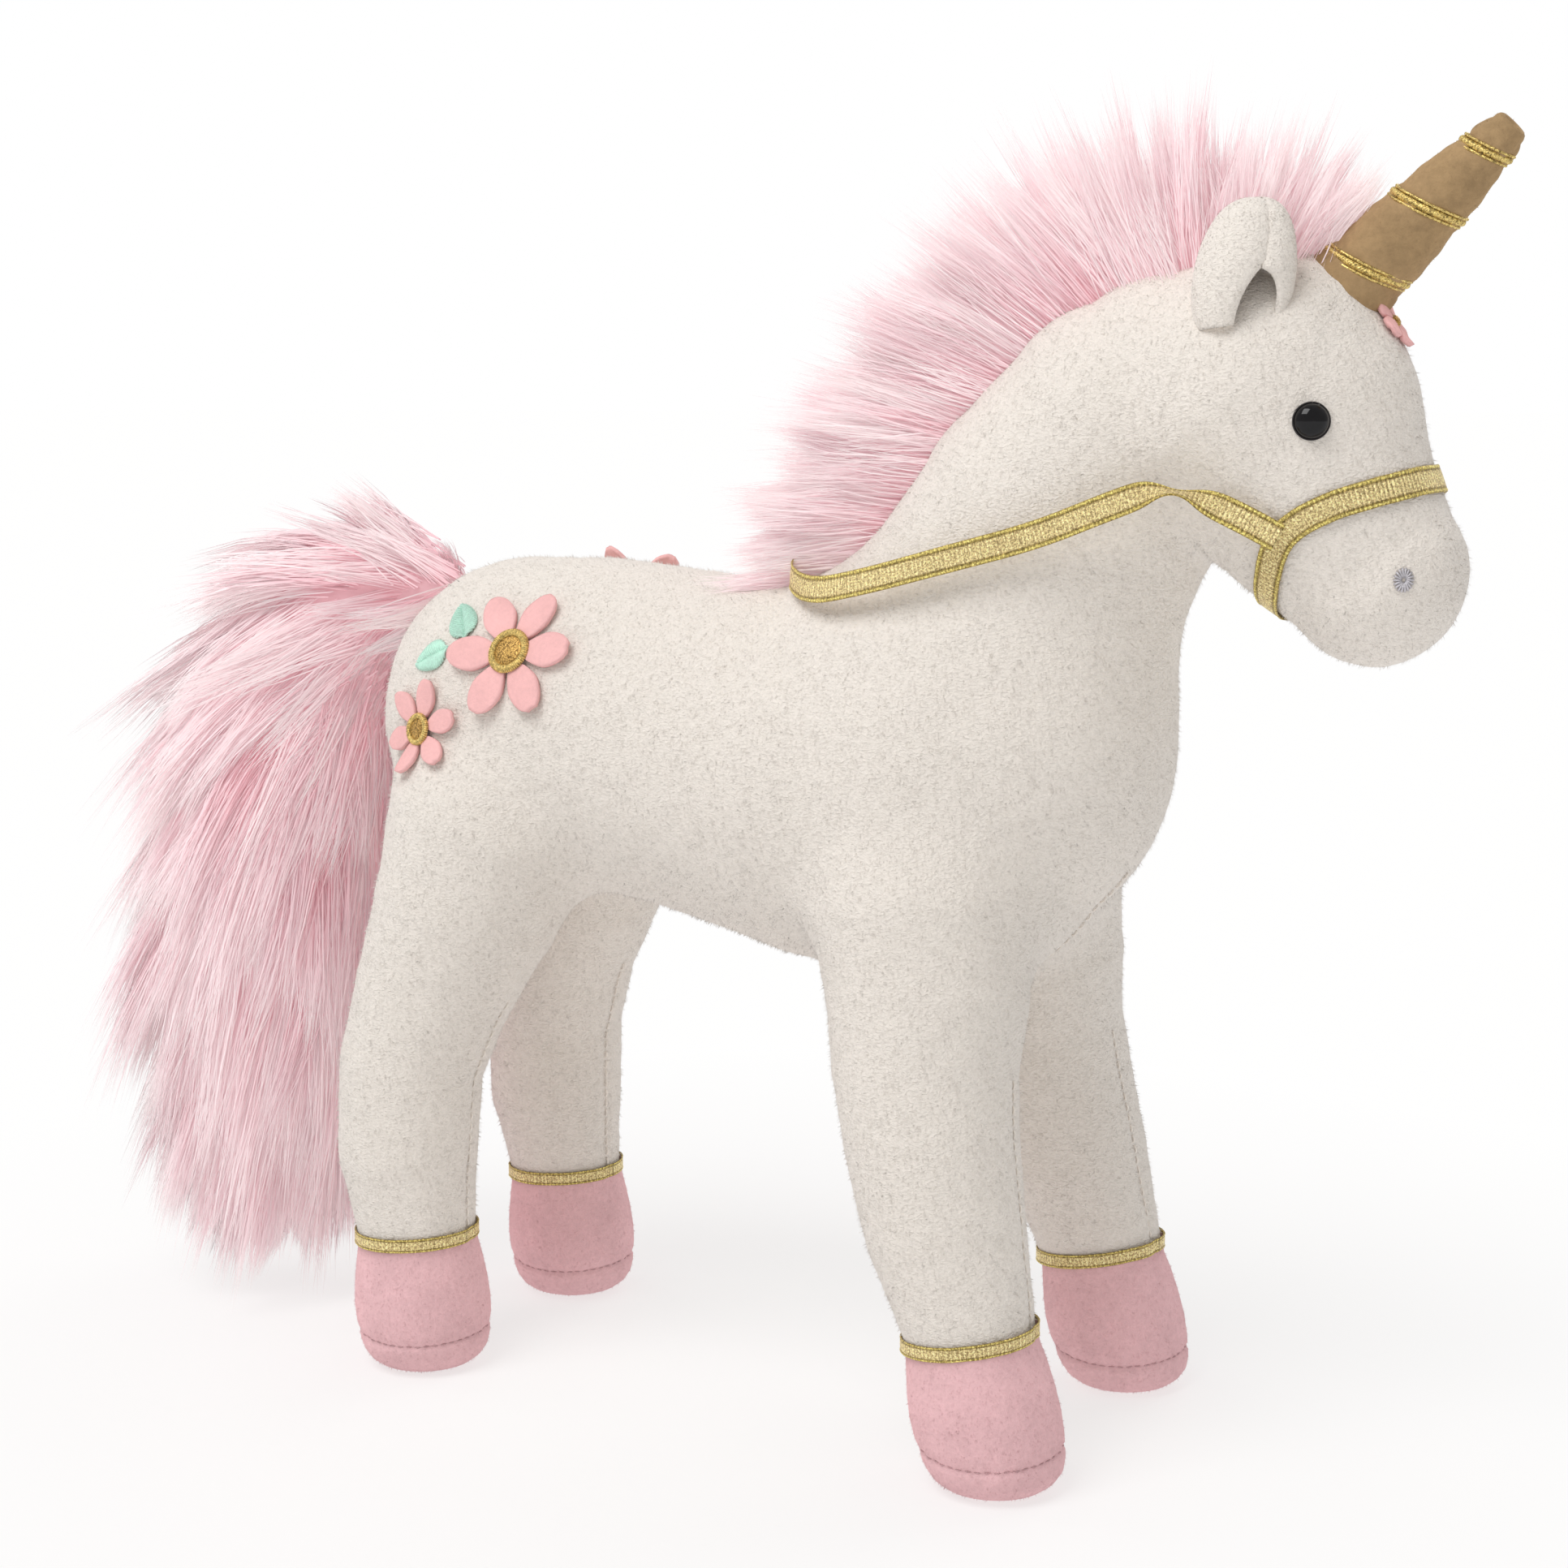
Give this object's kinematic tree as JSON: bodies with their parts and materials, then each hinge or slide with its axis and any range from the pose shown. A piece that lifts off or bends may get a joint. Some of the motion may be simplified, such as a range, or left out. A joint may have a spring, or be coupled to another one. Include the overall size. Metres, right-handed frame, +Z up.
{
  "type": "plush unicorn",
  "caption": "Standing stuffed unicorn with padded hooves, a stubby banded horn, long fur mane and tail, and joints at legs, neck, head, ears and tail.",
  "frame": {"origin": "on the floor, under the middle of the whole outline", "axes": "+X forward towards the muzzle and horn, +Y to the toy's left, +Z up"},
  "size_m": [0.4416, 0.129, 0.363],
  "materials": {
    "white_plush": "short napped pile",
    "pink_fur": "long spiky pile",
    "fur_backing": "knitted backing",
    "stuffing": "loose fibre",
    "pink_velour": "velour",
    "gold_ribbon": "metallic weave",
    "gold_suede": "suede cloth",
    "gold_braid": "metallic braid",
    "eye_black": "polished",
    "washer_white": "moulded",
    "grey_thread": "satin stitch",
    "pink_felt": "felt",
    "gold_glitter": "glitter cloth",
    "mint_thread": "satin stitch",
    "pouch": "plain weave over beans"
  },
  "bodies": {
    "head": {"brow_flower_centre": "gold_glitter", "brow_flower_petals": "pink_felt", "eye_washers": "washer_white", "eyes": "eye_black", "head_skin_left": "white_plush", "head_skin_right": "white_plush", "head_stuffing": "stuffing", "horn_braid": "gold_braid", "horn_cover": "gold_suede", "horn_stuffing": "stuffing", "noseband": "gold_ribbon", "nostrils": "grey_thread", "poll_mane_backing": "fur_backing", "poll_mane_pile": "pink_fur", "reins": "gold_ribbon"},
    "ear_left": {"ear_lining_left": "white_plush", "ear_outer_left": "white_plush"},
    "ear_right": {"ear_lining_right": "white_plush", "ear_outer_right": "white_plush"},
    "torso": {"flower_large_centres": "gold_glitter", "flower_large_petals": "pink_felt", "flower_small_centres": "gold_glitter", "flower_small_petals": "pink_felt", "rump_leaves": "mint_thread", "tail_backing": "fur_backing", "torso_skin_left": "white_plush", "torso_skin_right": "white_plush", "torso_stuffing": "stuffing"},
    "leg_front_left": {"leg_front_left_bean_pouch": "pouch", "leg_front_left_hoof_cover": "pink_velour", "leg_front_left_ribbon": "gold_ribbon", "leg_front_left_skin": "white_plush", "leg_front_left_sole": "pink_velour", "leg_front_left_stuffing": "stuffing"},
    "leg_front_right": {"leg_front_right_bean_pouch": "pouch", "leg_front_right_hoof_cover": "pink_velour", "leg_front_right_ribbon": "gold_ribbon", "leg_front_right_skin": "white_plush", "leg_front_right_sole": "pink_velour", "leg_front_right_stuffing": "stuffing"},
    "leg_rear_left": {"leg_rear_left_bean_pouch": "pouch", "leg_rear_left_hoof_cover": "pink_velour", "leg_rear_left_ribbon": "gold_ribbon", "leg_rear_left_skin": "white_plush", "leg_rear_left_sole": "pink_velour", "leg_rear_left_stuffing": "stuffing"},
    "leg_rear_right": {"leg_rear_right_bean_pouch": "pouch", "leg_rear_right_hoof_cover": "pink_velour", "leg_rear_right_ribbon": "gold_ribbon", "leg_rear_right_skin": "white_plush", "leg_rear_right_sole": "pink_velour", "leg_rear_right_stuffing": "stuffing"},
    "neck": {"neck_mane_backing": "fur_backing", "neck_mane_pile": "pink_fur", "neck_skin_left": "white_plush", "neck_skin_right": "white_plush", "neck_stuffing": "stuffing"},
    "tail": {"tail_pile": "pink_fur"}
  },
  "joints": [
    {"name": "neck_bend", "type": "hinge", "parent": "torso", "child": "neck", "pos_m": [0.088, 0, 0.218], "axis": [0, 1, 0], "range_deg": [-10, 12], "stiffness_Nm_per_rad": 6, "deforming": ["reins"]},
    {"name": "head_turn", "type": "hinge", "parent": "neck", "child": "head", "pos_m": [0.156, 0, 0.281], "axis": [0, 0, 1], "range_deg": [-20, 20], "stiffness_Nm_per_rad": 1, "deforming": ["reins"]},
    {"name": "tail_lift", "type": "hinge", "parent": "torso", "child": "tail", "pos_m": [-0.104, 0, 0.237], "axis": [0, 1, 0], "range_deg": [0, 45]},
    {"name": "ear_right_flop", "type": "hinge", "parent": "head", "child": "ear_right", "pos_m": [0.159, -0.032, 0.297], "axis": [1, 0, 0], "range_deg": [-3, 30], "stiffness_Nm_per_rad": 0.05},
    {"name": "ear_left_flop", "type": "hinge", "parent": "head", "child": "ear_left", "pos_m": [0.159, 0.032, 0.297], "axis": [-1, 0, 0], "range_deg": [-3, 30], "stiffness_Nm_per_rad": 0.05},
    {"name": "leg_front_right_swing", "type": "hinge", "parent": "torso", "child": "leg_front_right", "pos_m": [0.0795, -0.032, 0.124], "axis": [0, 1, 0], "range_deg": [-15, 15], "stiffness_Nm_per_rad": 3},
    {"name": "leg_front_left_swing", "type": "hinge", "parent": "torso", "child": "leg_front_left", "pos_m": [0.0795, 0.032, 0.124], "axis": [0, 1, 0], "range_deg": [-15, 15], "stiffness_Nm_per_rad": 3},
    {"name": "leg_rear_right_swing", "type": "hinge", "parent": "torso", "child": "leg_rear_right", "pos_m": [-0.075, -0.0315, 0.13], "axis": [0, 1, 0], "range_deg": [-15, 15], "stiffness_Nm_per_rad": 3},
    {"name": "leg_rear_left_swing", "type": "hinge", "parent": "torso", "child": "leg_rear_left", "pos_m": [-0.075, 0.0315, 0.13], "axis": [0, 1, 0], "range_deg": [-15, 15], "stiffness_Nm_per_rad": 3}
  ]
}
